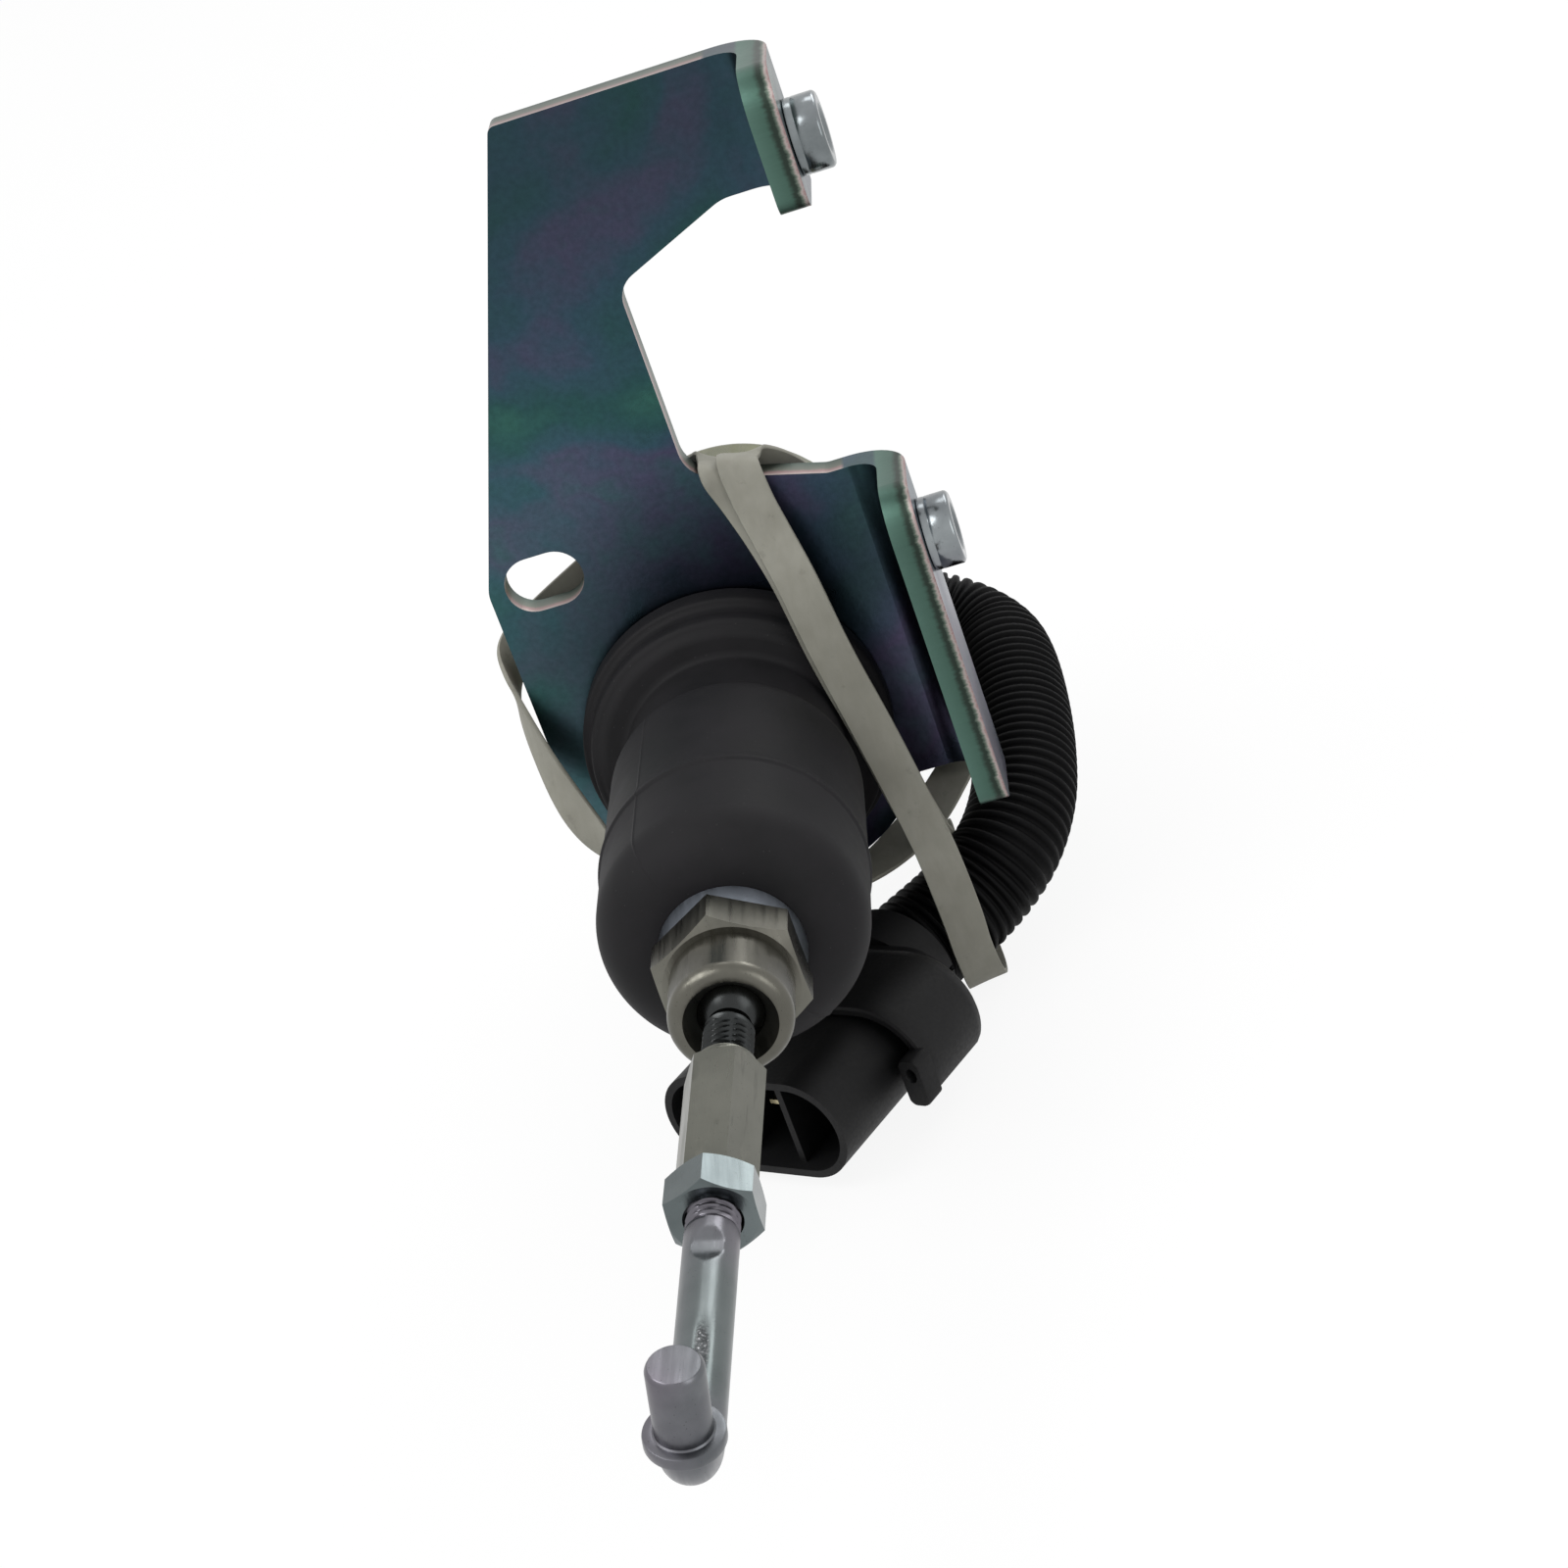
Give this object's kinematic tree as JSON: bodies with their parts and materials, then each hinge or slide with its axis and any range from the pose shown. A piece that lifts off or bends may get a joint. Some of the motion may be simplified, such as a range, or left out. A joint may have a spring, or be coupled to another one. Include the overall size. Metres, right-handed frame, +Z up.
{
  "type": "fuel shutoff solenoid",
  "caption": "Pull solenoid in a rubber boot on a bent steel bracket, with ball-jointed hook rod, corrugated wire loom and plug.",
  "frame": {"origin": "axis of the lower mounting nut where it meets the bracket flange's outer face", "axes": "+X out of the flange, towards what it is fastened to; +Y to the rear, along the solenoid can; +Z up along the flange, from the lower mounting nut to the upper one"},
  "size_m": [0.0912, 0.2729, 0.1698],
  "materials": {
    "bracket_zinc": "iridescent zinc plating, dark teal with violet drift, sheared edges pinkish grey",
    "nut_zinc": "bright zinc plated clinch nuts",
    "can_steel": "plain zinc plated drawn steel",
    "core_iron": "turned and plated soft iron",
    "bobbin_plastic": "moulded natural nylon",
    "winding_copper": "enamelled copper winding",
    "guide_brass": "drawn brass tube",
    "spring_steel": "bright spring wire",
    "plunger_steel": "ground and plated steel",
    "boot_rubber": "charcoal moulded rubber, satin, fine mould seam and parting line",
    "washer_zinc": "bluish violet zinc plating",
    "swivel_nickel": "turned steel, dull nickel tone",
    "stud_steel": "dark plated steel, greased",
    "coupling_zinc": "brushed zinc plating, warm grey",
    "jam_nut_zinc": "bright bluish zinc plating",
    "hook_zinc": "iridescent zinc plating, pink to green drift",
    "loom_plastic": "black corrugated nylon",
    "wire_red": "red insulation",
    "wire_white": "white insulation",
    "wire_black": "black insulation",
    "connector_plastic": "near-black moulded plastic",
    "seal_rubber": "orange silicone",
    "contact_brass": "tinned brass blades",
    "band_rubber": "warm greige natural rubber, dusty, small nick"
  },
  "bodies": {
    "housing": {"bracket": "bracket_zinc", "upper_clinch_nut": "nut_zinc", "lower_clinch_nut": "nut_zinc", "solenoid_can": "can_steel", "front_pole_plate": "core_iron", "lock_ring": "core_iron", "rear_pole": "core_iron", "coil_bobbin": "bobbin_plastic", "pull_coil": "winding_copper", "hold_coil": "winding_copper", "guide_tube": "guide_brass", "return_spring": "spring_steel", "boot": "boot_rubber", "cable_gland": "loom_plastic", "wire_loom": "loom_plastic", "pull_wire": "wire_red", "hold_wire": "wire_white", "ground_wire": "wire_black", "connector_shell": "connector_plastic", "connector_lock": "connector_plastic", "wire_seal": "seal_rubber", "left_contact": "contact_brass", "middle_contact": "contact_brass", "right_contact": "contact_brass", "rubber_band": "band_rubber"},
    "plunger_group": {"plunger": "plunger_steel", "end_washer": "washer_zinc", "swivel_nut": "swivel_nickel"},
    "ball_stud": {"ball_stud": "stud_steel"},
    "link": {"coupling_nut": "coupling_zinc", "jam_nut": "jam_nut_zinc", "hook_rod": "hook_zinc"}
  },
  "joints": [
    {"name": "plunger_slide", "type": "slide", "parent": "housing", "child": "plunger_group", "axis": [0, 1, 0], "range_m": [0, 0.025], "stiffness_N_per_m": 600, "springref_m": -0.02, "deforming": ["return_spring", "boot"]},
    {"name": "link_pitch", "type": "hinge", "parent": "plunger_group", "child": "ball_stud", "pos_m": [-0.043, -0.0829, -0.03], "axis": [1, 0, 0], "range_deg": [-21, 7]},
    {"name": "link_spin", "type": "hinge", "parent": "ball_stud", "child": "link", "pos_m": [-0.043, -0.0829, -0.03], "axis": [-0.0813, -0.989, -0.1236], "continuous": true}
  ]
}
